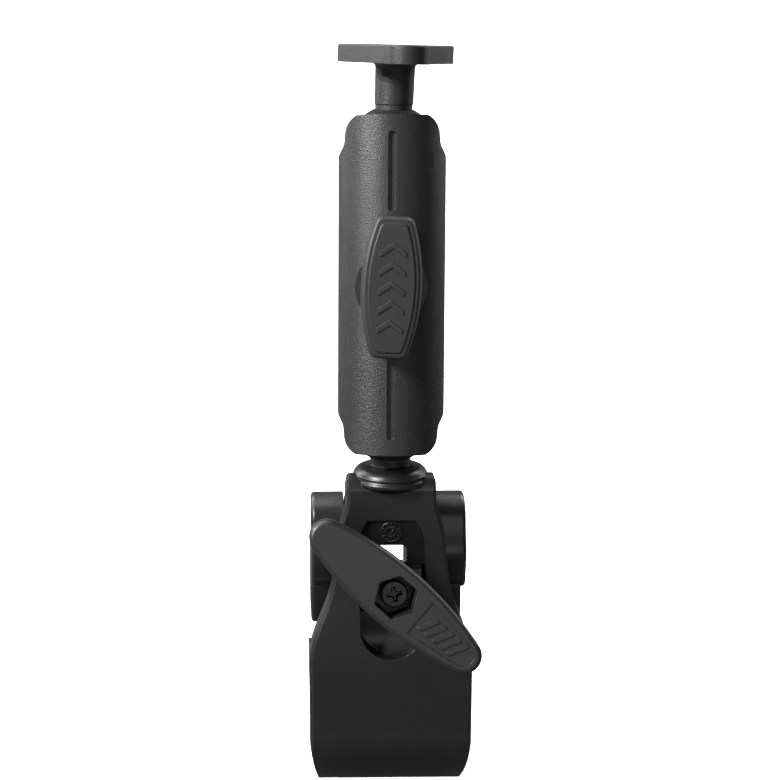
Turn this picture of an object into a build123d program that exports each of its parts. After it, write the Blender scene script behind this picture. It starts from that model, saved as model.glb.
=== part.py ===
from build123d import *
import os
from math import cos, radians, sin, sqrt

# Two-ball arm mount for a handlebar.
# Frame: origin on the axis of the clamped bar, +X along the bar, +Z up the mount,
# and the clamping lever and the arm's wing knob on the -Y side. Millimetres.

# ---- driving dimensions -------------------------------------------------------
bar_radius = 12.7            # 25.4 mm bar, the size the jaws are shown closed on
pad_thickness = 2.4
jaw_half_width = 23.2
jaw_bore = bar_radius + pad_thickness

post_y = -12.0               # ball post, in front of the bar axis
shoulder_z = 77.6            # top of the front jaw's body
collar_top_z = 79.2
neck_radius = 5.75
ball_radius = 12.7           # 25.4 mm ball, rubber cover included
cover_thickness = 1.2
cover_play = 0.05
low_ball_z = 92.9

face_y = -19.3               # front face of the upper jaw
wing_back_y = -13.2          # back of the shield-shaped front plate
core_half_width = 12.5       # body of the front jaw, between the rear jaw's cheeks
back_y = -3.0                # back face of the front jaw

hinge_z = 59.5               # hinge of the rear jaw, axis along X at Y = 0
knuckle_radius = 6.8
pin_radius = 2.5
cheek_inner = 12.9
cheek_outer = 22.3
blade_half_width = 17.4
cheek_floor_z = 27.0
cheek_step_z = 40.7

spindle_slope = 12.0         # spindle falls this much to the rear, degrees
seat_y = -14.5               # centre of the rocker that the spindle bears on
seat_z = 43.7
nut_y = 16.0                 # barrel nut in the rear jaw
seat_radius = 7.15
rocker_radius = 7.05
rocker_half_width = 8.6
nut_radius = 4.2
nut_length = 24.8
spindle_radius = 3.0
spindle_rear = 45.0          # length behind the rocker's centre
slot_half_width = 4.5
slot_top_z = 56.9

arm_lean = 7.0               # arm leans back by this much in its rest pose
arm_turn = -4.0              # and is turned by this much on the lower ball
ball_pitch = 74.0            # ball centre to ball centre
arm_end = 9.1                # ball centre to the end face of the arm
arm_half_width = 14.75
arm_depth = 14.9             # front or back of the arm from its middle plane
split_gap = 0.8              # each shell stops this far from the middle plane
socket_play = 0.12
stud_radius = 3.0
knob_turn = -2.6             # wing knob's angle on the arm, degrees

stem_radius = 5.5
head_roll = 1.7              # head leans to +X by this much on the upper ball
head_turn = 3.0              # and is turned by this much
plate_bottom = 24.0          # underside of the plate, above the upper ball's centre
plate_thickness = 4.9
plate_half_width = 16.4
plate_hole_pitch = 48.56
plate_hole_radius = 2.6
plate_boss_radius = 5.9

nut_z = seat_z - (nut_y - seat_y) * sin(radians(spindle_slope)) / cos(radians(spindle_slope))
arm_back, arm_rise = sin(radians(arm_lean)), cos(radians(arm_lean))
turn_sin, turn_cos = sin(radians(arm_turn)), cos(radians(arm_turn))
roll_sin, roll_cos = sin(radians(head_roll)), cos(radians(head_roll))
core_radius = ball_radius - cover_thickness - cover_play

# ---- working planes -----------------------------------------------------------
# Spindle: z points out of the lever, y up the mount.
tilt_y, tilt_z = -cos(radians(spindle_slope)), sin(radians(spindle_slope))
spindle_plane = Plane((0, seat_y, seat_z), x_dir=(1, 0, 0), z_dir=(0, tilt_y, tilt_z))
# Arm: up is the line through both ball centres, face looks out of the wing knob.
low_ball = (0, post_y, low_ball_z)
arm_across = (turn_cos, turn_sin, 0)
arm_up = Plane(
    low_ball,
    x_dir=arm_across,
    z_dir=(-arm_back * turn_sin, arm_back * turn_cos, arm_rise),
)
arm_face = Plane(
    low_ball,
    x_dir=arm_across,
    z_dir=(arm_rise * turn_sin, -arm_rise * turn_cos, arm_back),
)
knob_axis = Plane(
    arm_up.from_local_coords((0, 0, ball_pitch / 2)),
    x_dir=arm_across,
    z_dir=arm_face.z_dir,
)
spindle_line = Axis((0, seat_y, seat_z), (0, tilt_y, tilt_z))
knob_line = Axis(knob_axis.origin, knob_axis.z_dir)
post_plane = Plane((0, post_y, 0), x_dir=(1, 0, 0), z_dir=(0, -1, 0))


def turned(plane, degrees):
    """The same plane, turned about its own normal."""
    x_dir = plane.x_dir.rotate(Axis(plane.origin, plane.z_dir), degrees)
    return Plane(plane.origin, x_dir=x_dir, z_dir=plane.z_dir)


# Head: up is the stem's axis; its profile plane has x across and y up the stem.
high_ball = arm_up.from_local_coords((0, 0, ball_pitch))
head_up = turned(
    Plane(high_ball, x_dir=(roll_cos, 0, -roll_sin), z_dir=(roll_sin, 0, roll_cos)), head_turn
)
head_profile = Plane(high_ball, x_dir=head_up.x_dir, z_dir=-head_up.y_dir)


def on_circle(radius, degrees):
    """Point of a circle round the bar axis, as (Y, Z); 0 is straight up, 90 to the rear."""
    return (radius * sin(radians(degrees)), radius * cos(radians(degrees)))


def pad_section(first, last):
    """Section of one rubber pad, between two angles round the bar."""
    middle = (first + last) / 2
    with BuildSketch() as section:
        with BuildLine():
            inner = ThreePointArc([on_circle(bar_radius, angle) for angle in (first, middle, last)])
            outer = ThreePointArc([on_circle(jaw_bore, angle) for angle in (first, middle, last)])
            Line(inner @ 0, outer @ 0)
            Line(inner @ 1, outer @ 1)
        make_face()
    return section.sketch


def hexagon(across_flats, rotation=0):
    """Draws a hexagon by the distance between its flats."""
    RegularPolygon(across_flats / 2, side_count=6, major_radius=False, rotation=rotation)


def arm_outline():
    """The arm's outline: x across, y along the arm from the low ball's centre."""
    with BuildSketch() as outline:
        for end, inward in ((-arm_end, 1), (ball_pitch + arm_end, -1)):
            with BuildLine():
                Line((0, ball_pitch / 2), (0, end))
                Line((0, end), (9.6, end))
                ThreePointArc((9.6, end), (11.9, end + 1.9 * inward), (12.9, end + 5.0 * inward))
                Line((12.9, end + 5.0 * inward), (13.1, end + 7.0 * inward))
                Spline(
                    (13.1, end + 7.0 * inward),
                    (arm_half_width, end + 11.5 * inward),
                    tangents=[(0.1, inward), (0, inward)],
                )
                Line((arm_half_width, end + 11.5 * inward), (arm_half_width, ball_pitch / 2))
                Line((arm_half_width, ball_pitch / 2), (0, ball_pitch / 2))
            make_face()
        mirror(about=Plane.YZ)
    return outline.sketch


def arm_section(side):
    """One shell's section across the arm: side is -1 for the front shell, 1 for the rear."""
    with BuildSketch() as section:
        Ellipse(arm_half_width + 0.6, arm_depth)
        with Locations((0, side * (arm_depth + split_gap))):
            Rectangle(3 * arm_half_width, 2 * arm_depth, mode=Mode.INTERSECT)
    return section.sketch


# ---- front jaw, ball post and core --------------------------------------------
pocket_top_z = 64.8
pocket_low_z = 32.9
pocket_low_radius = 8.8

with BuildPart() as pocket_tool:
    with BuildSketch(Plane.XZ):
        with BuildLine():
            Line((0, pocket_top_z), (6.6, pocket_top_z))
            Spline(
                (6.6, pocket_top_z),
                (9.4, 56.5),
                (9.6, 46.0),
                (pocket_low_radius, pocket_low_z),
                tangents=[(1, -1), (0, -1)],
            )
            ThreePointArc(
                (pocket_low_radius, pocket_low_z),
                (pocket_low_radius * sqrt(0.5), pocket_low_z - pocket_low_radius * sqrt(0.5)),
                (0, pocket_low_z - pocket_low_radius),
            )
            mirror(about=Plane.YZ)
        make_face()
    extrude(amount=30)
    seat_in = (-15.9, seat_z + sqrt(seat_radius**2 - 1.4**2))
    seat_out = (seat_y, seat_z - seat_radius)
    with BuildSketch(Plane.YZ):
        with BuildLine():
            Polyline(
                (-30, pocket_top_z + 1),
                (face_y + 0.6, pocket_top_z + 1),
                (face_y + 0.7, pocket_top_z - 0.4),
                seat_in,
            )
            ThreePointArc(seat_in, (seat_y + seat_radius, seat_z), seat_out)
            Line(seat_out, (-14.2, 31.0))
            Spline((-14.2, 31.0), (-22.0, 22.5), tangents=[(0, -1), (-1, -0.1)])
            Polyline((-22.0, 22.5), (-30, 22.5), (-30, pocket_top_z + 1))
        make_face()
    extrude(amount=20, both=True, mode=Mode.INTERSECT)

with BuildPart() as front_jaw:
    lip, lip_out = on_circle(jaw_bore, -137), on_circle(21.0, -137)
    bore_top = on_circle(jaw_bore, -12)
    knuckle_low = (back_y, hinge_z - sqrt(knuckle_radius**2 - back_y**2))
    with BuildSketch(Plane.YZ):
        with BuildLine():
            Line((-2.0, 71.0), (-12.2, 76.8))
            ThreePointArc((-12.2, 76.8), (-17.2, 76.5), (face_y, 73.4))
            Line((face_y, 73.4), (face_y - 0.1, 52.0))
            Spline((face_y - 0.1, 52.0), (-21.4, 22.0), tangents=[(0, -1), (0, -1)])
            Line((-21.4, 22.0), (-21.4, 2.0))
            ThreePointArc((-21.4, 2.0), on_circle(21.3, -112), lip_out)
            Line(lip_out, lip)
            ThreePointArc(lip, (-jaw_bore, 0), bore_top)
            Polyline(bore_top, (back_y, 20.0), knuckle_low)
            ThreePointArc(knuckle_low, (knuckle_radius, hinge_z), (0, hinge_z + knuckle_radius))
            Polyline((0, hinge_z + knuckle_radius), (-2.0, 69.5), (-2.0, 71.0))
        make_face()
    extrude(amount=jaw_half_width, both=True)
    # Shield outline seen from the front.
    with BuildSketch(Plane.XZ):
        with BuildLine():
            Line((0, shoulder_z), (10.4, shoulder_z))
            ThreePointArc((10.4, shoulder_z), (11.8, shoulder_z - 0.6), (12.4, shoulder_z - 2.0))
            Line((12.4, shoulder_z - 2.0), (12.5, 71.0))
            Spline(
                (12.5, 71.0),
                (14.0, 64.8),
                (15.9, 51.5),
                (18.6, 39.0),
                (jaw_half_width, 24.5),
                tangents=[(0.05, -1), (0.1, -1)],
            )
            Line((jaw_half_width, 24.5), (jaw_half_width, -2.0))
            ThreePointArc((jaw_half_width, -2.0), (21.9, -10.0), (19.8, -18.0))
            Line((19.8, -18.0), (0, -18.0))
            mirror(about=Plane.YZ)
        make_face()
    extrude(amount=30, both=True, mode=Mode.INTERSECT)
    # Room for the rear jaw's cheeks, behind the front plate.
    for side in (-1, 1):
        with BuildSketch(Plane.YZ.offset(side * (core_half_width + 6))):
            with BuildLine():
                Polyline(
                    (wing_back_y, 82), (wing_back_y, 26.5), (-8.5, 24.0), (30, 24.0), (30, 82),
                    close=True,
                )
            make_face()
        extrude(amount=6, both=True, mode=Mode.SUBTRACT)
    front_edges = front_jaw.faces().filter_by_position(Axis.Y, -21.5, -19.2).edges()
    rim = [
        edge for edge in front_edges
        if abs(edge.center().X) > 11 and edge.center().Z > -6 and edge.length > 12
    ]
    chamfer(rim, length=0.9)
    # Collar, neck and ball core, turned about the post.
    with BuildSketch(post_plane):
        with BuildLine():
            Polyline((0, 68.0), (6.0, 71.8), (9.9, 73.9))
            ThreePointArc((9.9, 73.9), (10.75, 74.8), (10.4, 75.8))
            Line((10.4, 75.8), (10.2, 76.2))
            ThreePointArc((10.2, 76.2), (10.55, 76.7), (10.35, 77.2))
            ThreePointArc((10.35, 77.2), (9.4, 78.5), (7.4, 79.0))
            Line((7.4, 79.0), (6.6, collar_top_z))
            Line((6.6, collar_top_z), (neck_radius, collar_top_z + 0.4))
            Line((neck_radius, collar_top_z + 0.4), (neck_radius, low_ball_z))
            Polyline((neck_radius, low_ball_z), (0, low_ball_z), (0, 68.0))
        make_face()
    revolve(axis=Axis((0, post_y, 0), (0, 0, 1)))
    with Locations(low_ball):
        Sphere(core_radius)
    # Hinge bore, spindle slot and the pocket round the rocker.
    with Locations(Location((0, 0, hinge_z), (0, 90, 0))):
        Cylinder(pin_radius + 0.05, 60, mode=Mode.SUBTRACT)
    with BuildSketch(Plane.XZ):
        with Locations((0, (slot_top_z + 36.8) / 2)):
            RectangleRounded(2 * slot_half_width, slot_top_z - 36.8, 1.6)
    extrude(amount=30, mode=Mode.SUBTRACT)
    add(pocket_tool.part, mode=Mode.SUBTRACT)
    front_jaw.part.label = "front_jaw"

with BuildPart() as front_pad:
    with BuildSketch(Plane.YZ):
        add(pad_section(-137, -12))
    extrude(amount=20.0, both=True)
    front_pad.part.label = "front_pad"

# ---- rear jaw -----------------------------------------------------------------
with BuildPart() as rear_jaw:
    tip, tip_out = on_circle(jaw_bore, 160), on_circle(19.6, 160)
    web_foot = on_circle(jaw_bore, 28)
    web_top_z = 41.0
    ledge_z = nut_z - nut_radius - 0.1
    with BuildSketch(Plane.YZ):
        with BuildLine():
            Line(tip, tip_out)
            ThreePointArc(tip_out, on_circle(20.4, 128), (20.8, 0))
            Polyline((20.8, 0), (21.3, 22.0), (21.3, ledge_z), (nut_y, ledge_z))
            Polyline((nut_y, ledge_z), (nut_y, web_top_z), (9.8, web_top_z), (9.8, 29.0), web_foot)
            ThreePointArc(web_foot, (jaw_bore, 0), tip)
        make_face()
    extrude(amount=blade_half_width, both=True)
    # The web is cut back to the gap between the cheeks above their lower ends.
    with BuildSketch(Plane.XY.offset(cheek_floor_z + 1)):
        for side in (-1, 1):
            with Locations((side * (cheek_inner + 5), 12)):
                Rectangle(10, 30)
    extrude(amount=20, mode=Mode.SUBTRACT)
    # One arched cheek each side of the front jaw.
    cheek_middle = (cheek_inner + cheek_outer) / 2
    cap_radius = 8.2
    for side in (-1, 1):
        with BuildSketch(Plane.YZ.offset(side * cheek_middle)):
            with BuildLine():
                ThreePointArc(
                    (-cap_radius, hinge_z + 1), (0, hinge_z + cap_radius), (cap_radius, hinge_z)
                )
                Spline(
                    (cap_radius, hinge_z),
                    (15.5, 51.5),
                    (22.6, 40.5),
                    (21.3, cheek_floor_z),
                    tangents=[(0, -1), (-0.2, -1)],
                )
                Line((21.3, cheek_floor_z), (2.2, cheek_floor_z))
                Line((2.2, cheek_floor_z), (2.2, cheek_step_z - 2.5))
                ThreePointArc(
                    (2.2, cheek_step_z - 2.5), (1.5, cheek_step_z - 0.7), (-0.3, cheek_step_z)
                )
                Line((-0.3, cheek_step_z), (-6.0, cheek_step_z))
                ThreePointArc(
                    (-6.0, cheek_step_z), (-8.4, cheek_step_z + 1.2), (-9.5, cheek_step_z + 4.2)
                )
                Spline(
                    (-9.5, cheek_step_z + 4.2),
                    (-10.8, 52.5),
                    (-cap_radius, hinge_z + 1),
                    tangents=[(-0.3, 1), (0.15, 1)],
                )
            make_face()
        extrude(amount=(cheek_outer - cheek_inner) / 2, both=True)
    outer_rims = (
        rear_jaw.faces().filter_by(Axis.X).group_by(Axis.X)[0].edges()
        + rear_jaw.faces().filter_by(Axis.X).group_by(Axis.X)[-1].edges()
    )
    fillet(outer_rims, radius=1.1)
    # Saddle for the barrel nut, slot for the spindle and bore for the hinge pin.
    with Locations(Location((0, nut_y, nut_z), (0, 90, 0))):
        Cylinder(nut_radius + 0.08, 2 * cheek_inner, mode=Mode.SUBTRACT)
    with BuildSketch(Plane.XZ):
        with Locations((0, 46)):
            SlotOverall(40, 8.4, rotation=90)
    extrude(amount=-30, mode=Mode.SUBTRACT)
    with Locations(Location((0, 0, hinge_z), (0, 90, 0))):
        Cylinder(pin_radius, 60, mode=Mode.SUBTRACT)
    rear_jaw.part.label = "rear_jaw"

with BuildPart() as rear_pad:
    with BuildSketch(Plane.YZ):
        add(pad_section(28, 160))
    extrude(amount=16.4, both=True)
    rear_pad.part.label = "rear_pad"

with BuildPart() as hinge_pin:
    with Locations(Location((0, 0, hinge_z), (0, 90, 0))):
        Cylinder(pin_radius, 2 * cheek_outer - 0.8)
    chamfer(hinge_pin.edges().filter_by(GeomType.CIRCLE), length=0.4)
    hinge_pin.part.label = "hinge_pin"

with BuildPart() as barrel_nut:
    with Locations(Location((0, nut_y, nut_z), (0, 90, 0))):
        Cylinder(nut_radius, nut_length)
    chamfer(barrel_nut.edges().filter_by(GeomType.CIRCLE), length=0.4)
    with Locations(Location((0, nut_y, nut_z), (90 - spindle_slope, 0, 0))):
        Cylinder(spindle_radius + 0.45, 4 * nut_radius, mode=Mode.SUBTRACT)
    barrel_nut.part.label = "barrel_nut"

# ---- rocker, washer, spindle and lever, stacked along the spindle ---------------
rocker_front = 4.5
washer_front = rocker_front + 1.0
flange_front = washer_front + 1.1
hex_front = flange_front + 2.4
lip_back, lip_front = 9.4, 10.6
screw_under = 14.6
screw_top = 17.0
lever_back, lever_front = 15.4, 23.5
lever_reach = 29.5
lever_half_width = 8.45
lever_angle = -41.3          # long axis falls to the right, seen from the front
boss_radius = 8.0
boss_back = 5.9
recess_flats = 10.6
recess_turn = 17.0

with BuildPart() as seat_rocker:
    with Locations(Location((0, seat_y, seat_z), (0, 90, 0))):
        Cylinder(rocker_radius, 2 * rocker_half_width)
    with BuildSketch(spindle_plane.offset(rocker_front)):
        Rectangle(40, 40)
    extrude(amount=20, mode=Mode.SUBTRACT)
    with BuildSketch(spindle_plane):
        Circle(spindle_radius + 0.4)
    extrude(amount=20, both=True, mode=Mode.SUBTRACT)
    seat_rocker.part.label = "seat_rocker"

with BuildPart() as thrust_washer:
    with BuildSketch(spindle_plane.offset(rocker_front)):
        Circle(7.4)
        Circle(spindle_radius + 0.3, mode=Mode.SUBTRACT)
    extrude(amount=washer_front - rocker_front)
    chamfer(thrust_washer.edges().filter_by(GeomType.CIRCLE), length=0.2)
    thrust_washer.part.label = "thrust_washer"

with BuildPart() as clamp_spindle:
    with BuildSketch(spindle_plane.offset(-spindle_rear)):
        Circle(spindle_radius)
    extrude(amount=spindle_rear + flange_front)
    chamfer(clamp_spindle.faces().sort_by(Axis.Y)[-1].edges(), length=0.6)
    with BuildSketch(spindle_plane.offset(washer_front + 0.1)):
        Circle(6.3)
    extrude(amount=flange_front - washer_front - 0.1)
    with BuildSketch(spindle_plane.offset(flange_front)):
        hexagon(8.0)
    extrude(amount=hex_front - flange_front)
    with BuildSketch(spindle_plane.offset(hex_front)):
        Circle(2.0)
    extrude(amount=-12, mode=Mode.SUBTRACT)
    with BuildSketch(spindle_plane.offset(-spindle_rear + 0.8)):
        Circle(spindle_radius)
        Circle(spindle_radius - 0.6, mode=Mode.SUBTRACT)
    extrude(amount=1.0, mode=Mode.SUBTRACT)
    clamp_spindle.part.label = "clamp_spindle"

with BuildPart() as spindle_stop_ring:
    with BuildSketch(spindle_plane.offset(-spindle_rear + 0.85)):
        Circle(4.4)
        Circle(spindle_radius - 0.55, mode=Mode.SUBTRACT)
        with Locations((0, -3.5)):
            Rectangle(3.0, 4.0, mode=Mode.SUBTRACT)
    extrude(amount=0.9)
    spindle_stop_ring.part.label = "spindle_stop_ring"

with BuildPart() as lever_screw:
    with BuildSketch(spindle_plane.offset(hex_front - 11.5)):
        Circle(1.98)
    extrude(amount=screw_under - hex_front + 11.5)
    with BuildSketch(spindle_plane.offset(screw_under)):
        Circle(3.75)
    extrude(amount=screw_top - screw_under)
    fillet(lever_screw.faces().sort_by(spindle_line)[-1].edges(), radius=0.5)
    # Cross recess.
    with BuildSketch(spindle_plane.offset(screw_top)):
        Rectangle(4.3, 1.15, rotation=12)
        Rectangle(1.15, 4.3, rotation=12)
        Rectangle(2.3, 2.3, rotation=57)
    extrude(amount=-1.6, taper=12, mode=Mode.SUBTRACT)
    lever_screw.part.label = "lever_screw"

with BuildPart() as lever_spring:
    with BuildSketch(spindle_plane.offset(lip_front)):
        Circle(3.6)
        Circle(2.5, mode=Mode.SUBTRACT)
    extrude(amount=screw_under - lip_front)
    lever_spring.part.label = "lever_spring"

# Long sides are arcs that run on smoothly into the round tips.
tip_radius = 5.0
tip_centre = lever_reach - tip_radius
side_bulge = lever_half_width - tip_radius
side_drop = (tip_centre**2 - side_bulge**2) / (2 * side_bulge)
side_scale = (lever_half_width + side_drop) / (side_drop + side_bulge)
tip_x, tip_y = tip_centre * side_scale, side_drop * (side_scale - 1)

lever_plane = turned(spindle_plane, lever_angle)

with BuildPart() as clamp_lever:
    with BuildSketch(lever_plane.offset(lever_back)):
        with BuildLine():
            ThreePointArc((-tip_x, tip_y), (0, lever_half_width), (tip_x, tip_y))
            ThreePointArc((tip_x, tip_y), (lever_reach, 0), (tip_x, -tip_y))
            ThreePointArc((tip_x, -tip_y), (0, -lever_half_width), (-tip_x, -tip_y))
            ThreePointArc((-tip_x, -tip_y), (-lever_reach, 0), (-tip_x, tip_y))
        make_face()
    extrude(amount=lever_front - lever_back)
    lever_faces = clamp_lever.faces().sort_by(spindle_line)
    fillet(lever_faces[0].edges() + lever_faces[-1].edges(), radius=1.4)
    with BuildSketch(spindle_plane.offset(boss_back)):
        Circle(boss_radius)
    extrude(amount=lever_back - boss_back + 0.5)
    # Hex recess in front, lip, hex socket and the room for the spindle's flange.
    with BuildSketch(spindle_plane.offset(lip_front)):
        hexagon(recess_flats, recess_turn)
    extrude(amount=20, mode=Mode.SUBTRACT)
    with BuildSketch(spindle_plane.offset(lip_back)):
        Circle(2.4)
    extrude(amount=5, mode=Mode.SUBTRACT)
    with BuildSketch(spindle_plane.offset(lip_back)):
        hexagon(8.3)
    extrude(amount=-5, mode=Mode.SUBTRACT)
    with BuildSketch(spindle_plane.offset(flange_front + 0.3)):
        Circle(6.6)
    extrude(amount=-5, mode=Mode.SUBTRACT)
    # Shallow panel on the lower half of the front face.
    with BuildSketch(lever_plane.offset(lever_front - 0.35)):
        with BuildLine():
            Line((8.5, 5.4), (24.3, 3.2))
            ThreePointArc((24.3, 3.2), (27.2, 0), (24.3, -3.2))
            Line((24.3, -3.2), (8.5, -5.4))
            Line((8.5, -5.4), (8.5, 5.4))
        make_face()
    extrude(amount=2, mode=Mode.SUBTRACT)
    with BuildSketch(lever_plane.offset(lever_front - 0.4)):
        for place in (11.6, 14.2, 16.8, 19.4, 22.0):
            with Locations((place, 0)):
                SlotOverall(6.4, 1.2, rotation=62)
    extrude(amount=0.4)
    clamp_lever.part.label = "clamp_lever"

# ---- arm ------------------------------------------------------------------------
arm_boss = arm_depth + 0.6
washer_thickness = 1.0
nut_flats = 10.0
nut_seat = 8.4               # rear nut's front face, behind the arm's middle plane


def shell_blank(side):
    """One arm shell before its own details: side is -1 for the front one, 1 for the rear."""
    with BuildPart() as shell:
        with BuildSketch(arm_up.offset(-arm_end)):
            add(arm_section(side))
        extrude(amount=ball_pitch + 2 * arm_end)
        with BuildSketch(arm_face):
            add(arm_outline())
        extrude(amount=20, both=True, mode=Mode.INTERSECT)
        # Ball sockets, with a mouth flared for the tilt.
        for height, outward in ((0, -1), (ball_pitch, 1)):
            with Locations(arm_up.from_local_coords((0, 0, height))):
                Sphere(ball_radius + socket_play, mode=Mode.SUBTRACT)
            with BuildSketch(arm_up.offset(height + outward * 8.6)):
                Circle(9.25)
            extrude(amount=outward * 3, mode=Mode.SUBTRACT)
        # Cored pockets between the sockets and the middle boss.
        for height in (ball_pitch / 2 - 15.3, ball_pitch / 2 + 15.3):
            with BuildSketch(arm_face.offset(-side * split_gap)):
                with Locations((0, height)):
                    RectangleRounded(19, 11.5, 2)
            extrude(amount=-side * 8.5, mode=Mode.SUBTRACT)
        # Stud bore and the counterbore that holds the spring.
        with BuildSketch(knob_axis):
            Circle(stud_radius + 0.25)
        extrude(amount=20, both=True, mode=Mode.SUBTRACT)
        with BuildSketch(knob_axis):
            Circle(5.4)
        extrude(amount=-side * 5.0, mode=Mode.SUBTRACT)
    return shell.part


with BuildPart() as arm_front_shell:
    add(shell_blank(-1))
    with BuildSketch(knob_axis.offset(arm_depth - 3)):
        Circle(9.9)
        Circle(stud_radius + 0.25, mode=Mode.SUBTRACT)
    extrude(amount=arm_boss - arm_depth + 3)
    with BuildSketch(knob_axis.offset(arm_depth - 1.0)):
        with Locations((0, 31.0), (0, -31.0)):
            SlotOverall(21.4, 2.0, rotation=90)
    extrude(amount=3, mode=Mode.SUBTRACT)
    arm_front_shell.part.label = "arm_front_shell"

with BuildPart() as arm_rear_shell:
    add(shell_blank(1))
    with BuildSketch(knob_axis.offset(-nut_seat)):
        hexagon(nut_flats + 0.2)
    extrude(amount=-10, mode=Mode.SUBTRACT)
    with BuildSketch(knob_axis.offset(-arm_depth + 1.0)):
        with Locations((0, 27.0), (0, -27.0)):
            SlotOverall(29.4, 2.0, rotation=90)
    extrude(amount=-3, mode=Mode.SUBTRACT)
    arm_rear_shell.part.label = "arm_rear_shell"

with BuildPart() as arm_nut:
    with BuildSketch(knob_axis.offset(-nut_seat)):
        hexagon(nut_flats)
        Circle(stud_radius + 0.05, mode=Mode.SUBTRACT)
    extrude(amount=-5)
    arm_nut.part.label = "arm_nut"

with BuildPart() as arm_spring:
    with BuildSketch(knob_axis.offset(-4.9)):
        Circle(5.0)
        Circle(3.8, mode=Mode.SUBTRACT)
    extrude(amount=9.8)
    arm_spring.part.label = "arm_spring"

with BuildPart() as arm_washer:
    with BuildSketch(knob_axis.offset(arm_boss)):
        Circle(7.8)
        Circle(stud_radius + 0.2, mode=Mode.SUBTRACT)
    extrude(amount=washer_thickness)
    chamfer(arm_washer.edges().filter_by(GeomType.CIRCLE), length=0.2)
    arm_washer.part.label = "arm_washer"

knob_plane = turned(knob_axis, knob_turn)
knob_foot = arm_boss + washer_thickness + 0.1
wing_back = 19.0
wing_front = 31.0


def wing_outline(half_length, half_width, half_end, corner):
    """Outline of the wing knob: two bowed sides and two flat ends with round corners."""
    with BuildSketch() as outline:
        with BuildLine():
            ThreePointArc((-half_end, half_length), (-half_width, 0), (-half_end, -half_length))
            Line((-half_end, -half_length), (half_end, -half_length))
            ThreePointArc((half_end, -half_length), (half_width, 0), (half_end, half_length))
            Line((half_end, half_length), (-half_end, half_length))
        make_face()
        fillet(outline.vertices(), radius=corner)
    return outline.sketch


with BuildPart() as arm_knob:
    with BuildSketch(knob_plane.offset(wing_back)):
        add(wing_outline(18.9, 8.2, 4.9, 2.2))
    with BuildSketch(knob_plane.offset(wing_front)):
        add(wing_outline(18.3, 7.5, 4.4, 2.0))
    loft()
    fillet(arm_knob.faces().sort_by(knob_line)[-1].edges(), radius=0.8)
    # Raised panel inside the rim of the wing's face.
    with BuildSketch(knob_plane.offset(wing_front - 0.5)):
        add(wing_outline(16.9, 6.2, 3.3, 1.5))
    extrude(amount=1.0)
    fillet(arm_knob.faces().sort_by(knob_line)[-1].edges(), radius=0.4)
    with BuildSketch(knob_axis.offset(knob_foot)):
        Circle(7.6)
    extrude(amount=wing_back - knob_foot + 1)
    # Raised chevrons on the face of the wing.
    with BuildSketch(knob_plane.offset(wing_front + 0.3)):
        for height in (-10.0, -5.0, 0.0, 5.0, 10.0):
            with BuildLine():
                Polyline(
                    (-3.4, height - 1.9), (0, height + 0.5), (3.4, height - 1.9),
                    (3.4, height - 0.5), (0, height + 1.9), (-3.4, height - 0.5), close=True,
                )
            make_face()
    extrude(amount=0.6)
    with BuildSketch(knob_axis.offset(knob_foot - 1)):
        Circle(stud_radius - 0.02)
    extrude(amount=11, mode=Mode.SUBTRACT)
    arm_knob.part.label = "arm_knob"

with BuildPart() as arm_stud:
    with BuildSketch(knob_axis.offset(-14.4)):
        Circle(stud_radius - 0.02)
    extrude(amount=14.4 + knob_foot + 9.9)
    chamfer(arm_stud.edges().filter_by(GeomType.CIRCLE).sort_by(Axis.Y)[-1], length=0.5)
    arm_stud.part.label = "arm_stud"

# ---- ball covers and head ---------------------------------------------------------
with BuildPart() as lower_ball_cover:
    with Locations(low_ball):
        Sphere(ball_radius)
        Sphere(ball_radius - cover_thickness, mode=Mode.SUBTRACT)
    with BuildSketch(Plane((0, post_y, low_ball_z))):
        Circle(neck_radius + 0.1)
    extrude(amount=-20, mode=Mode.SUBTRACT)
    lower_ball_cover.part.label = "lower_ball_cover"

with BuildPart() as upper_ball_cover:
    with Locations(high_ball):
        Sphere(ball_radius)
        Sphere(ball_radius - cover_thickness, mode=Mode.SUBTRACT)
    with BuildSketch(head_up):
        Circle(stem_radius + 0.1)
    extrude(amount=20, mode=Mode.SUBTRACT)
    upper_ball_cover.part.label = "upper_ball_cover"

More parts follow.
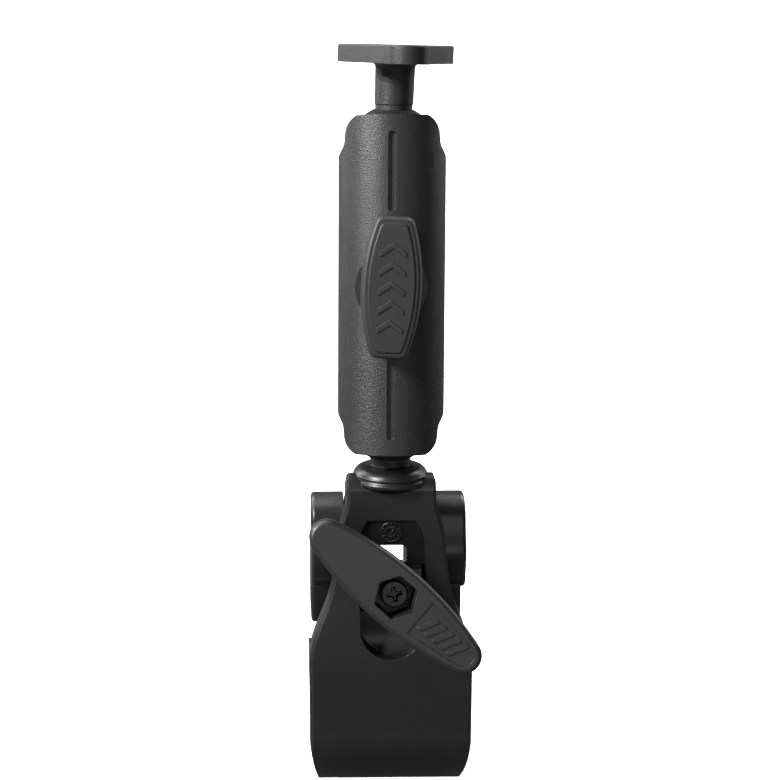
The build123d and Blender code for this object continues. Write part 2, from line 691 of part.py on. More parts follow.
with BuildPart() as head_plate:
    with Locations(high_ball):
        Sphere(core_radius)
    # Stem with a groove above the ball and a rounded foot under the plate.
    groove_top = 12.9
    with BuildSketch(head_profile):
        with BuildLine():
            Polyline(
                (0, 0), (stem_radius - 0.35, 0), (stem_radius - 0.35, groove_top - 0.2),
                (stem_radius - 0.15, groove_top), (stem_radius, plate_bottom - 1.4),
            )
            ThreePointArc(
                (stem_radius, plate_bottom - 1.4),
                (stem_radius + 0.4, plate_bottom - 0.4),
                (stem_radius + 1.4, plate_bottom),
            )
            Polyline(
                (stem_radius + 1.4, plate_bottom), (stem_radius + 1.4, plate_bottom + 1),
                (0, plate_bottom + 1), (0, 0),
            )
        make_face()
    revolve(axis=Axis(high_ball, head_up.z_dir))
    with BuildSketch(head_up.offset(plate_bottom)):
        with BuildLine():
            Polyline(
                (plate_half_width, 0), (3.6, plate_hole_pitch / 2), (-3.6, plate_hole_pitch / 2),
                (-plate_half_width, 0), (-3.6, -plate_hole_pitch / 2),
                (3.6, -plate_hole_pitch / 2), close=True,
            )
        make_face()
        fillet(vertices().group_by(Axis.X)[0] + vertices().group_by(Axis.X)[-1], radius=3.5)
        with Locations((0, plate_hole_pitch / 2), (0, -plate_hole_pitch / 2)):
            Circle(plate_boss_radius)
    extrude(amount=plate_thickness)
    fillet(head_plate.faces().sort_by(Axis(high_ball, head_up.z_dir))[-1].edges(), radius=0.5)
    with BuildSketch(head_up.offset(plate_bottom + plate_thickness)):
        with Locations((0, plate_hole_pitch / 2), (0, -plate_hole_pitch / 2)):
            Circle(plate_hole_radius)
    extrude(amount=-plate_thickness, mode=Mode.SUBTRACT)
    head_plate.part.label = "head_plate"

os.makedirs("parts", exist_ok=True)
export_step(front_jaw.part, "parts/front_jaw.step")
export_step(front_pad.part, "parts/front_pad.step")
export_step(lower_ball_cover.part, "parts/lower_ball_cover.step")
export_step(hinge_pin.part, "parts/hinge_pin.step")
export_step(rear_jaw.part, "parts/rear_jaw.step")
export_step(rear_pad.part, "parts/rear_pad.step")
export_step(barrel_nut.part, "parts/barrel_nut.step")
export_step(seat_rocker.part, "parts/seat_rocker.step")
export_step(thrust_washer.part, "parts/thrust_washer.step")
export_step(clamp_spindle.part, "parts/clamp_spindle.step")
export_step(spindle_stop_ring.part, "parts/spindle_stop_ring.step")
export_step(lever_screw.part, "parts/lever_screw.step")
export_step(lever_spring.part, "parts/lever_spring.step")
export_step(clamp_lever.part, "parts/clamp_lever.step")
export_step(arm_rear_shell.part, "parts/arm_rear_shell.step")
export_step(arm_nut.part, "parts/arm_nut.step")
export_step(arm_spring.part, "parts/arm_spring.step")
export_step(arm_front_shell.part, "parts/arm_front_shell.step")
export_step(arm_washer.part, "parts/arm_washer.step")
export_step(arm_knob.part, "parts/arm_knob.step")
export_step(arm_stud.part, "parts/arm_stud.step")
export_step(upper_ball_cover.part, "parts/upper_ball_cover.step")
export_step(head_plate.part, "parts/head_plate.step")
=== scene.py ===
"""Handlebar mount with a two-ball arm: finishes, springs, thread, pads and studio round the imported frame."""

import logging
import math
from dataclasses import dataclass
from enum import Enum

import bpy
import numpy as np
from mathutils import Matrix, Vector


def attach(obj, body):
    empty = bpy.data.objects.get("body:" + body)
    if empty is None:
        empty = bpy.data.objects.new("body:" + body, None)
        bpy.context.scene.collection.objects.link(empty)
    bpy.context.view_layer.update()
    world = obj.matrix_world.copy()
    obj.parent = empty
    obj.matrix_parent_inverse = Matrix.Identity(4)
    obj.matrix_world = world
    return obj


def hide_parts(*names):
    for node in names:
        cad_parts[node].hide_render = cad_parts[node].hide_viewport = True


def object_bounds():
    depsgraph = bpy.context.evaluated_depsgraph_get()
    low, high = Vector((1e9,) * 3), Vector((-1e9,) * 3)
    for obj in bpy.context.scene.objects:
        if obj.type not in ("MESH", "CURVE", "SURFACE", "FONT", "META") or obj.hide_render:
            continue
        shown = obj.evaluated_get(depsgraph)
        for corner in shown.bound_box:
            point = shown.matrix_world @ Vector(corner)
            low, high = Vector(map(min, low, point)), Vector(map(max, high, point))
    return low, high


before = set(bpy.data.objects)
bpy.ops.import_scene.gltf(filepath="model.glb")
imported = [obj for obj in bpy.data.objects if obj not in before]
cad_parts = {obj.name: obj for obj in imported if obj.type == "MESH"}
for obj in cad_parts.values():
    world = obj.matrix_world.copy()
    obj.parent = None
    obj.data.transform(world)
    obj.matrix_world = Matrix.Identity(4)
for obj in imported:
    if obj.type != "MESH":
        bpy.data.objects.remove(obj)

LOG = logging.getLogger("handlebar_mount")
CAD_BOX = [list(corner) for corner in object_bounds()]

MM = 0.001
BAR_RADIUS = 12.7 * MM
PAD_OUTER_RADIUS = 15.08 * MM
PATCHES_PER_METRE = 55.0
DUST_PER_METRE = 420.0
DUST_WEIGHT = 0.3
MOUNT_MIDDLE = (0.0, 0.0, 0.10)
WALL_FOOT = (0.0, 2.2, 0.2)


class Slot(Enum):
    """Material slots of the record that the pieces take their finish from."""

    JAW = "jaw_plastic"
    ARM = "arm_plastic"
    HANDLE = "handle_plastic"
    HEAD = "head_plastic"
    RUBBER = "rubber"
    BLACK_STEEL = "black_steel"
    BRIGHT_STEEL = "bright_steel"
    SPRING_STEEL = "spring_steel"


# ---- surfaces -------------------------------------------------------------------


def make_object(name: str, points: np.ndarray, faces: list, smooth: bool = True) -> bpy.types.Object:
    """Puts points and faces into a new mesh object at the origin.

    Args:
        name: the piece's name.
        points: array of shape (count, 3), metres, in the frame's coordinates.
        faces: lists of point numbers, one for each face.
        smooth: whether the faces are shaded smooth.

    Returns:
        The new object, linked to the scene.
    """
    mesh = bpy.data.meshes.new(name)
    mesh.from_pydata(points.tolist(), [], faces)
    mesh.update()
    mesh.polygons.foreach_set("use_smooth", np.full(len(mesh.polygons), smooth))
    mesh.validate()
    piece = bpy.data.objects.new(name, mesh)
    bpy.context.scene.collection.objects.link(piece)
    return piece


def grid_faces(rows: int, columns: int, wrap: bool, start: int = 0) -> np.ndarray:
    """Quads of a grid of rows times columns points.

    Args:
        rows: points along the first direction.
        columns: points along the second direction.
        wrap: whether the last column joins the first.
        start: number of the grid's first point.

    Returns:
        Array of shape (quads, 4) of point numbers.
    """
    last = columns if wrap else columns - 1
    row, column = np.meshgrid(np.arange(rows - 1), np.arange(last), indexing="ij")
    beside = (column + 1) % columns
    quads = np.stack(
        [
            row * columns + column, row * columns + beside,
            (row + 1) * columns + beside, (row + 1) * columns + column,
        ],
        axis=-1,
    )
    return quads.reshape(-1, 4) + start


def face_outwards(piece: bpy.types.Object) -> None:
    """Turns the faces of one closed piece so that its signed volume is positive."""
    mesh = piece.data
    mesh.calc_loop_triangles()
    corners = np.empty(len(mesh.loop_triangles) * 3, dtype=np.int32)
    mesh.loop_triangles.foreach_get("vertices", corners)
    points = np.empty(len(mesh.vertices) * 3)
    mesh.vertices.foreach_get("co", points)
    triangles = points.reshape(-1, 3)[corners.reshape(-1, 3)]
    volume = np.einsum("ij,ij->i", triangles[:, 0], np.cross(triangles[:, 1], triangles[:, 2])).sum()
    if volume < 0:
        mesh.flip_normals()


def tube(name: str, rings: np.ndarray) -> bpy.types.Object:
    """Closed tube through rings of points, each end shut by a fan round its ring's centre.

    Args:
        name: the piece's name.
        rings: array of shape (rings, points in a ring, 3), metres.

    Returns:
        The tube as an object whose faces point outwards.
    """
    count, sides, _ = rings.shape
    centres = np.stack([rings[0].mean(axis=0), rings[-1].mean(axis=0)])
    points = np.concatenate([rings.reshape(-1, 3), centres])
    around = np.arange(sides)
    first = np.stack([np.full(sides, count * sides), (around + 1) % sides, around], axis=-1)
    base = (count - 1) * sides
    last = np.stack([np.full(sides, count * sides + 1), base + around, base + (around + 1) % sides], axis=-1)
    faces = grid_faces(count, sides, wrap=True).tolist() + first.tolist() + last.tolist()
    piece = make_object(name, points, faces)
    face_outwards(piece)
    return piece


def slab(name: str, lower: np.ndarray, upper: np.ndarray) -> bpy.types.Object:
    """Closed slab between two sheets of the same grid, joined round their borders.

    Args:
        name: the piece's name.
        lower: array of shape (rows, columns, 3), metres.
        upper: the other sheet, of the same shape.

    Returns:
        The slab as an object whose faces point outwards.
    """
    rows, columns, _ = lower.shape
    offset = rows * columns
    number = np.arange(offset).reshape(rows, columns)
    border = np.concatenate([number[0, :-1], number[:-1, -1], number[-1, :0:-1], number[:0:-1, 0]])
    beyond = np.roll(border, -1)
    walls = np.stack([border, beyond, beyond + offset, border + offset], axis=-1)
    under = grid_faces(rows, columns, wrap=False)[:, ::-1]
    over = grid_faces(rows, columns, wrap=False, start=offset)
    points = np.concatenate([lower.reshape(-1, 3), upper.reshape(-1, 3)])
    piece = make_object(name, points, under.tolist() + over.tolist() + walls.tolist())
    face_outwards(piece)
    return piece


@dataclass(frozen=True)
class Stack:
    """A straight axis with an origin: its unit vector, and two unit vectors across it."""

    origin: np.ndarray
    along: np.ndarray
    across: np.ndarray
    up: np.ndarray

    @classmethod
    def forward(cls, origin: tuple, slope: float, swing: float = 0.0) -> "Stack":
        """Axis that points to -Y and rises by the slope, then swings about the upright; both in degrees."""
        rise, turn = math.radians(slope), math.radians(swing)
        along = np.array([math.cos(rise) * math.sin(turn), -math.cos(rise) * math.cos(turn), math.sin(rise)])
        across = np.array([math.cos(turn), math.sin(turn), 0.0])
        return cls(np.array(origin), along, across, np.cross(along, across))

    def place(self, side: np.ndarray, height: np.ndarray, depth: np.ndarray) -> np.ndarray:
        """Points at side times across, plus height times up, plus depth times along, from the origin."""
        return (
            self.origin
            + side[..., None] * self.across
            + height[..., None] * self.up
            + depth[..., None] * self.along
        )


def coil(
    name: str, axis: Stack, low: float, high: float, radius: float, wire: float, turns: float
) -> bpy.types.Object:
    """Compression spring: a round wire carried along a helix whose two end turns lie flat.

    The helix is radius times (cos, sin) of the turn angle. Three quarters of a turn at each end lie
    flat, and the rise from the lower end to the upper one is even over the turns between them.
    The wire's ring is its radius times the cosine along the radial direction plus its radius times
    the sine along the axis.

    Args:
        name: the piece's name.
        axis: the spring's axis.
        low: the lower end on the axis.
        high: the upper end on the axis.
        radius: from the axis to the middle of the wire.
        wire: the wire's radius.
        turns: number of turns, the flat ones included.

    Returns:
        The spring.
    """
    share = np.linspace(0.0, 1.0, int(turns * 40))
    flat = 0.75 / turns
    rise = np.clip((share - flat) / (1.0 - 2.0 * flat), 0.0, 1.0)
    level = low + wire + (high - low - 2.0 * wire) * rise
    angle = 2.0 * math.pi * turns * share
    ring = np.linspace(0.0, 2.0 * math.pi, 12, endpoint=False)
    reach = radius + wire * np.cos(ring)[None, :]
    side = reach * np.cos(angle)[:, None]
    height = reach * np.sin(angle)[:, None]
    depth = level[:, None] + wire * np.sin(ring)[None, :]
    return tube(name, axis.place(side, height, depth))


def thread(
    name: str, axis: Stack, low: float, high: float, root: float, crest: float, pitch: float
) -> bpy.types.Object:
    """Screw thread: a ridge with sloping flanks carried along a helix, fading out at both ends.

    The ridge's section is nearly a pitch wide at the root radius and has a flat crest about a seventh
    of a pitch wide. Its height is multiplied by a ramp that rises from almost nothing over the first
    half turn and falls over the last.

    Args:
        name: the piece's name.
        axis: the screw's axis.
        low: where the thread starts on the axis.
        high: where it ends.
        root: the radius at the foot of the ridge.
        crest: the radius at its top.
        pitch: the rise of one turn.

    Returns:
        The thread as a closed ridge.
    """
    turns = (high - low) / pitch
    share = np.linspace(0.0, 1.0, int(turns * 32))
    angle = 2.0 * math.pi * turns * share
    ramp = np.clip(np.minimum(share, 1.0 - share) * turns * 2.0, 0.02, 1.0)
    section_depth = np.array([-0.44, -0.07, 0.07, 0.44, 0.0]) * pitch
    section_rise = np.array([0.0, 1.0, 1.0, 0.0, -0.35])
    reach = root + (crest - root) * ramp[:, None] * section_rise[None, :]
    side = reach * np.cos(angle)[:, None]
    height = reach * np.sin(angle)[:, None]
    depth = (low + (high - low) * share)[:, None] + section_depth[None, :] * ramp[:, None]
    piece = tube(name, axis.place(side, height, depth))
    piece.data.polygons.foreach_set("use_smooth", np.zeros(len(piece.data.polygons), dtype=bool))
    return piece


def turned(name: str, axis: Stack, profile: np.ndarray, sides: int = 48) -> bpy.types.Object:
    """Solid of revolution: each row of the profile is a radius and a place on the axis.

    Args:
        name: the piece's name.
        axis: the axis it is turned about.
        profile: array of shape (rows, 2), metres, from one end of the solid to the other.
        sides: points in a ring.

    Returns:
        The closed solid.
    """
    ring = np.linspace(0.0, 2.0 * math.pi, sides, endpoint=False)
    side = profile[:, :1] * np.cos(ring)[None, :]
    height = profile[:, :1] * np.sin(ring)[None, :]
    depth = np.broadcast_to(profile[:, 1:], side.shape)
    return tube(name, axis.place(side, height, depth))


# ---- finishes -------------------------------------------------------------------


def new_group(name: str, inputs: dict, outputs: tuple) -> tuple:
    """Starts a shader node group with number inputs and number outputs.

    Args:
        name: the group's name.
        inputs: input name to its default value.
        outputs: names of the outputs.

    Returns:
        The group, its input node and its output node.
    """
    group = bpy.data.node_groups.new(name, "ShaderNodeTree")
    for label, value in inputs.items():
        socket = group.interface.new_socket(label, in_out="INPUT", socket_type="NodeSocketFloat")
        socket.default_value = value
    for label in outputs:
        group.interface.new_socket(label, in_out="OUTPUT", socket_type="NodeSocketFloat")
    return group, group.nodes.new("NodeGroupInput"), group.nodes.new("NodeGroupOutput")


def noise(nodes: bpy.types.Nodes, detail: float, rough: float) -> bpy.types.Node:
    """Noise texture with that much detail and roughness."""
    node = nodes.new("ShaderNodeTexNoise")
    node.inputs["Detail"].default_value = detail
    node.inputs["Roughness"].default_value = rough
    return node


def maths(nodes: bpy.types.Nodes, operation: str, second: float = 0.5) -> bpy.types.Node:
    """Math node of that operation, with its second value set."""
    node = nodes.new("ShaderNodeMath")
    node.operation = operation
    node.inputs[1].default_value = second
    return node


def build_grain_group() -> bpy.types.NodeTree:
    """Moulded grain: fine noise plus rounded cells, both as many to the metre as the input says.

    Height is a share of the noise plus the cell distance; Fleck is high where the noise peaks.
    """
    group, entry, leave = new_group("moulded_grain", {"Scale": 2400.0}, ("Height", "Fleck"))
    nodes, links = group.nodes, group.links
    place = nodes.new("ShaderNodeTexCoord")
    fine = noise(nodes, 3.0, 0.6)
    cells = nodes.new("ShaderNodeTexVoronoi")
    share = maths(nodes, "MULTIPLY", 0.8)
    total = maths(nodes, "ADD")
    fleck = nodes.new("ShaderNodeMapRange")
    fleck.inputs["From Min"].default_value = 0.52
    fleck.inputs["From Max"].default_value = 0.72
    for texture in (fine, cells):
        links.new(place.outputs["Object"], texture.inputs["Vector"])
        links.new(entry.outputs["Scale"], texture.inputs["Scale"])
    links.new(fine.outputs["Fac"], share.inputs[0])
    links.new(share.outputs[0], total.inputs[0])
    links.new(cells.outputs["Distance"], total.inputs[1])
    links.new(fine.outputs["Fac"], fleck.inputs["Value"])
    links.new(total.outputs[0], leave.inputs["Height"])
    links.new(fleck.outputs["Result"], leave.inputs["Fleck"])
    return group


def build_handling_group() -> bpy.types.NodeTree:
    """Marks of handling: wide soft patches where the surface is polished, and a thin film of dust."""
    group, entry, leave = new_group(
        "handling", {"Patches": PATCHES_PER_METRE, "Dust": DUST_PER_METRE}, ("Polish", "Film")
    )
    nodes, links = group.nodes, group.links
    place = nodes.new("ShaderNodeTexCoord")
    patches = noise(nodes, 4.0, 0.55)
    film = noise(nodes, 5.0, 0.7)
    spread = nodes.new("ShaderNodeMapRange")
    spread.inputs["From Min"].default_value = 0.35
    spread.inputs["From Max"].default_value = 0.7
    thin = nodes.new("ShaderNodeMapRange")
    thin.inputs["From Min"].default_value = 0.55
    thin.inputs["From Max"].default_value = 0.8
    for texture, label in ((patches, "Patches"), (film, "Dust")):
        links.new(place.outputs["Object"], texture.inputs["Vector"])
        links.new(entry.outputs[label], texture.inputs["Scale"])
    links.new(patches.outputs["Fac"], spread.inputs["Value"])
    links.new(film.outputs["Fac"], thin.inputs["Value"])
    links.new(spread.outputs["Result"], leave.inputs["Polish"])
    links.new(thin.outputs["Result"], leave.inputs["Film"])
    return group


class Effects:
    """The shader groups that the finishes share, each built once."""

    def __init__(self) -> None:
        """Builds both groups."""
        self.grain = build_grain_group()
        self.handling = build_handling_group()

    @staticmethod
    def put(material: bpy.types.Material, group: bpy.types.NodeTree, values: dict) -> bpy.types.Node:
        """Places a group in a material with its own values and returns the node."""
        node = material.node_tree.nodes.new("ShaderNodeGroup")
        node.node_tree = group
        for label, value in values.items():
            node.inputs[label].default_value = value
        return node


@dataclass(frozen=True)
class Finish:
    """One surface: two colours that its grain and dust mix, roughness, and the grain's bump.

    Grain is the width of one grain, relief the depth of the bump, and edge the radius that the
    shading gives to sharp edges, all in metres. Fleck is the grain's share in the mix of colours.
    """

    name: str
    dark: tuple
    light: tuple
    roughness: float
    roughness_spread: float
    grain: float
    relief: float
    fleck: float = 0.35
    metallic: float = 0.0
    specular: float = 0.5
    edge: float = 0.25 * MM

    def build(self, effects: Effects) -> bpy.types.Material:
        """Makes the material.

        Args:
            effects: the shared shader groups.

        Returns:
            The finished material.
        """
        material = bpy.data.materials.new(self.name)
        material.use_nodes = True
        nodes, links = material.node_tree.nodes, material.node_tree.links
        shader = nodes["Principled BSDF"]
        shader.inputs["Metallic"].default_value = self.metallic
        shader.inputs["Specular IOR Level"].default_value = self.specular
        grain = effects.put(material, effects.grain, {"Scale": 1.0 / self.grain})
        handling = effects.put(material, effects.handling, {})
        tone = maths(nodes, "MULTIPLY_ADD", self.fleck)
        colour = nodes.new("ShaderNodeMix")
        colour.data_type = "RGBA"
        colour.inputs["A"].default_value = (*self.dark, 1.0)
        colour.inputs["B"].default_value = (*self.light, 1.0)
        film = maths(nodes, "MULTIPLY", DUST_WEIGHT)
        polish = nodes.new("ShaderNodeMapRange")
        polish.inputs["To Min"].default_value = self.roughness + self.roughness_spread
        polish.inputs["To Max"].default_value = self.roughness - self.roughness_spread
        bump = nodes.new("ShaderNodeBump")
        bump.inputs["Distance"].default_value = self.relief
        bevel = nodes.new("ShaderNodeBevel")
        bevel.samples = 4
        bevel.inputs["Radius"].default_value = self.edge
        links.new(handling.outputs["Film"], film.inputs[0])
        links.new(grain.outputs["Fleck"], tone.inputs[0])
        links.new(film.outputs[0], tone.inputs[2])
        links.new(tone.outputs[0], colour.inputs["Factor"])
        links.new(colour.outputs["Result"], shader.inputs["Base Color"])
        links.new(handling.outputs["Polish"], polish.inputs["Value"])
        links.new(polish.outputs["Result"], shader.inputs["Roughness"])
        links.new(grain.outputs["Height"], bump.inputs["Height"])
        links.new(bevel.outputs["Normal"], bump.inputs["Normal"])
        links.new(bump.outputs["Normal"], shader.inputs["Normal"])
        return material


FINISHES = {
    Slot.JAW: Finish(
        "jaw_moulding", (0.006, 0.006, 0.0065), (0.016, 0.016, 0.017), 0.38, 0.04, 0.34 * MM, 0.012 * MM
    ),
    Slot.ARM: Finish(
        "arm_moulding", (0.011, 0.011, 0.0115), (0.046, 0.046, 0.047), 0.42, 0.04, 0.30 * MM, 0.055 * MM
    ),
    Slot.HANDLE: Finish(
        "handle_moulding", (0.010, 0.010, 0.0105), (0.024, 0.024, 0.025), 0.44, 0.04, 0.40 * MM, 0.012 * MM
    ),
    Slot.HEAD: Finish(
        "head_moulding", (0.010, 0.010, 0.0105), (0.040, 0.040, 0.042), 0.44, 0.04, 0.28 * MM, 0.055 * MM
    ),
    Slot.RUBBER: Finish(
        "moulded_rubber", (0.009, 0.009, 0.009), (0.022, 0.022, 0.022), 0.66, 0.06, 0.25 * MM, 0.006 * MM,
        specular=0.35,
    ),
    Slot.BLACK_STEEL: Finish(
        "black_oxide", (0.030, 0.030, 0.032), (0.085, 0.085, 0.090), 0.36, 0.06, 0.30 * MM, 0.004 * MM,
        metallic=0.6, edge=0.12 * MM,
    ),
    Slot.BRIGHT_STEEL: Finish(
        "zinc_plate", (0.42, 0.42, 0.43), (0.62, 0.62, 0.63), 0.30, 0.08, 0.35 * MM, 0.003 * MM,
        metallic=1.0, edge=0.10 * MM,
    ),
    Slot.SPRING_STEEL: Finish(
        "spring_wire", (0.26, 0.26, 0.27), (0.42, 0.42, 0.43), 0.28, 0.06, 0.30 * MM, 0.002 * MM,
        metallic=1.0, edge=0.05 * MM,
    ),
}


class Dresser:
    """Gives finishes to CAD nodes and to new pieces, and fixes new pieces to their bodies."""

    def __init__(self) -> None:
        """Builds every finish once."""
        effects = Effects()
        self.materials = {slot: finish.build(effects) for slot, finish in FINISHES.items()}

    def dress_nodes(self, slot: Slot, *names: str) -> None:
        """Puts the slot's material on CAD nodes that keep their own shape."""
        for name in names:
            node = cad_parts[name]
            node.data.materials.clear()
            node.data.materials.append(self.materials[slot])
            LOG.info("finish %s on %s", slot.value, name)

    def fit(self, piece: bpy.types.Object, slot: Slot, body: str, *replaced: str) -> bpy.types.Object:
        """Finishes a new piece, fixes it to a body and hides the CAD nodes it stands for.

        Args:
            piece: the new piece.
            slot: its finish.
            body: the CAD body that it moves with.
            *replaced: CAD nodes that it hides.

        Returns:
            The same piece.
        """
        piece.data.materials.clear()
        piece.data.materials.append(self.materials[slot])
        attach(piece, body)
        if replaced:
            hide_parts(*replaced)
        LOG.info("piece %s on %s, %d faces", piece.name, body, len(piece.data.polygons))
        return piece


# ---- sub-assemblies -------------------------------------------------------------


@dataclass
class BarClamp:
    """The two jaws with their rubber pads, the hinge pin and the date insert in the front pocket."""

    dresser: Dresser
    front_arc: tuple = (-137.0, -12.0)
    rear_arc: tuple = (28.0, 160.0)
    groove_pitch: float = 7.2
    groove_depth: float = 0.55 * MM
    edge_round: float = 0.7 * MM
    dial_radius: float = 3.3 * MM
    dial_centre: tuple = (0.0, -17.95 * MM, 60.95 * MM)
    dial_slope: float = -11.1
    dial_ticks: int = 12

    def pad(self, name: str, arc: tuple, half_length: float) -> bpy.types.Object:
        """Grooved rubber pad between the bar and a jaw.

        Both faces are parts of cylinders about the bar. The inner radius is the bar's radius plus the
        groove depth times a high even power of a cosine of the angle, so that narrow grooves run along
        the bar between flat lands. Near the two ends along the bar the inner radius grows as a quarter
        circle, which rounds the edge.

        Args:
            name: the piece's name.
            arc: first and last angle round the bar, in degrees from straight up towards the rear.
            half_length: half of the pad's length along the bar.

        Returns:
            The pad.
        """
        degrees = np.linspace(arc[0], arc[1], 260)
        inside = half_length - self.edge_round
        run = np.concatenate([
            np.linspace(-half_length, -inside, 7), np.linspace(-inside, inside, 5)[1:-1],
            np.linspace(inside, half_length, 7),
        ])
        outside = np.clip(np.abs(run) - inside, 0.0, self.edge_round) / self.edge_round
        lift = self.edge_round * (1.0 - np.sqrt(1.0 - outside**2))
        wave = np.cos(np.radians(180.0 * (degrees - arc[0]) / self.groove_pitch)) ** 12
        border = np.minimum(degrees - arc[0], arc[1] - degrees)
        groove = self.groove_depth * wave * (border > self.groove_pitch * 0.45)
        inner = BAR_RADIUS + np.maximum(groove[:, None], lift[None, :])
        angle = np.radians(degrees)[:, None]
        along = np.broadcast_to(run[None, :], inner.shape)
        outer = np.full_like(inner, PAD_OUTER_RADIUS)
        lower = np.stack([along, inner * np.sin(angle), inner * np.cos(angle)], axis=-1)
        upper = np.stack([along, outer * np.sin(angle), outer * np.cos(angle)], axis=-1)
        return slab(name, lower, upper)

    def date_insert(self) -> list:
        """Round mould insert on the pocket's rear wall: a sunk ring, radial ticks and a pointer.

        The disc is turned from a profile with a groove near its rim. Each tick is a bar with a
        crowned top, placed round the disc by turning its corners through equal steps, and the
        pointer is a longer bar across the middle.

        Returns:
            The disc and its raised marks.
        """
        axis = Stack.forward(self.dial_centre, self.dial_slope)
        rim = self.dial_radius
        profile = np.array([
            (0.02, -0.3), (1.0, -0.3), (1.0, 0.10), (0.93, 0.14), (0.88, 0.10), (0.86, 0.02), (0.55, 0.02),
            (0.53, 0.10), (0.46, 0.12), (0.42, 0.02), (0.02, 0.02),
        ]) * np.array([rim, MM])
        disc = turned("date_insert", axis, profile)
        starts = np.arange(self.dial_ticks) * 2.0 * math.pi / self.dial_ticks
        marks = [
            self.mark(axis, f"date_tick_{number}", turn, 0.60 * rim, 0.84 * rim, 0.16 * MM)
            for number, turn in enumerate(starts)
        ]
        marks.append(self.mark(axis, "date_pointer", 0.9, -0.36 * rim, 0.40 * rim, 0.22 * MM))
        return [disc, *marks]

    @staticmethod
    def mark(
        axis: Stack, name: str, turn: float, near: float, far: float, half_width: float
    ) -> bpy.types.Object:
        """Raised bar along a radius: flat sides and a top that falls as a parabola to both sides."""
        across = np.linspace(-half_width, half_width, 7)
        reach, width = np.meshgrid(np.linspace(near, far, 4), across, indexing="ij")
        side = reach * math.cos(turn) - width * math.sin(turn)
        height = reach * math.sin(turn) + width * math.cos(turn)
        top = 0.13 * MM - 0.06 * MM * (width / half_width) ** 2
        foot = np.full_like(top, -0.05 * MM)
        return slab(name, axis.place(side, height, foot), axis.place(side, height, top))

    def build(self) -> None:
        """Makes the pads and the insert, and finishes the jaws and the pin."""
        self.dresser.dress_nodes(Slot.JAW, "front_jaw", "rear_jaw")
        self.dresser.dress_nodes(Slot.BLACK_STEEL, "hinge_pin")
        front = self.pad("front_grip", self.front_arc, 19.95 * MM)
        rear = self.pad("rear_grip", self.rear_arc, 16.35 * MM)
        self.dresser.fit(front, Slot.RUBBER, "clamp_base", "front_pad")
        self.dresser.fit(rear, Slot.RUBBER, "rear_jaw", "rear_pad")
        for piece in self.date_insert():
            self.dresser.fit(piece, Slot.JAW, "clamp_base")


@dataclass
class ClampScrew:
    """The lever with its spring and screw, and the spindle, rocker and nut that close the jaws."""

    dresser: Dresser
    seat: tuple = (0.0, -14.5 * MM, 43.7 * MM)
    slope: float = 12.0
    thread_low: float = -43.0 * MM
    thread_high: float = -9.0 * MM
    thread_root: float = 2.96 * MM
    thread_crest: float = 3.36 * MM
    thread_pitch: float = 1.0 * MM
    spring_low: float = 10.62 * MM
    spring_high: float = 14.58 * MM
    spring_radius: float = 3.02 * MM
    spring_wire: float = 0.42 * MM

    def build(self) -> None:
        """Makes the thread and the lever's spring, and finishes the rest."""
        axis = Stack.forward(self.seat, self.slope)
        ridge = thread(
            "spindle_thread", axis, self.thread_low, self.thread_high, self.thread_root, self.thread_crest,
            self.thread_pitch,
        )
        self.dresser.fit(ridge, Slot.BRIGHT_STEEL, "spindle")
        spring = coil(
            "lever_coil", axis, self.spring_low, self.spring_high, self.spring_radius, self.spring_wire, 3.5
        )
        self.dresser.fit(spring, Slot.SPRING_STEEL, "spindle", "lever_spring")
        self.dresser.dress_nodes(Slot.HANDLE, "clamp_lever")
        self.dresser.dress_nodes(Slot.BLACK_STEEL, "lever_screw")
        self.dresser.dress_nodes(Slot.SPRING_STEEL, "spindle_stop_ring")
        self.dresser.dress_nodes(Slot.BLACK_STEEL, "seat_rocker", "thrust_washer")
        self.dresser.dress_nodes(Slot.BRIGHT_STEEL, "barrel_nut", "clamp_spindle")


@dataclass
class BallArm:
    """The two shells on their balls, drawn together by the wing knob against a spring."""

    dresser: Dresser
    middle: tuple = (0.3145 * MM, -7.5018 * MM, 129.6242 * MM)
    lean: float = 7.0
    swing: float = -4.0
    spring_half: float = 4.88 * MM
    spring_radius: float = 4.4 * MM
    spring_wire: float = 0.55 * MM

    def build(self) -> None:
        """Makes the inner spring and finishes the shells, the balls' covers and the hardware."""
        axis = Stack.forward(self.middle, self.lean, self.swing)
        spring = coil(
            "arm_coil", axis, -self.spring_half, self.spring_half, self.spring_radius, self.spring_wire, 5.5
        )
        self.dresser.fit(spring, Slot.SPRING_STEEL, "arm", "arm_spring")
        self.dresser.dress_nodes(Slot.ARM, "arm_front_shell", "arm_rear_shell")
        self.dresser.dress_nodes(Slot.RUBBER, "lower_ball_cover", "upper_ball_cover")
        self.dresser.dress_nodes(Slot.HANDLE, "arm_knob")
        self.dresser.dress_nodes(Slot.BLACK_STEEL, "arm_washer")
        self.dresser.dress_nodes(Slot.BRIGHT_STEEL, "arm_nut", "arm_stud")
        self.dresser.dress_nodes(Slot.HEAD, "head_plate")


# ---- studio ---------------------------------------------------------------------


@dataclass(frozen=True)
class Lamp:
    """One square area light: where it stands, its side in metres, its power and what it looks at."""

    name: str
    place: tuple
    size: float
    power: float
    target: tuple = MOUNT_MIDDLE

    def build(self) -> None:
        """Makes the light and turns it to its target."""
        data = bpy.data.lights.new(self.name, "AREA")
        data.size = self.size
        data.energy = self.power
        lamp = bpy.data.objects.new(self.name, data)
        bpy.context.scene.collection.objects.link(lamp)
        place = Vector(self.place)
        aim = Vector(self.target) - place
        lamp.matrix_world = Matrix.Translation(place) @ aim.to_track_quat("-Z", "Y").to_matrix().to_4x4()


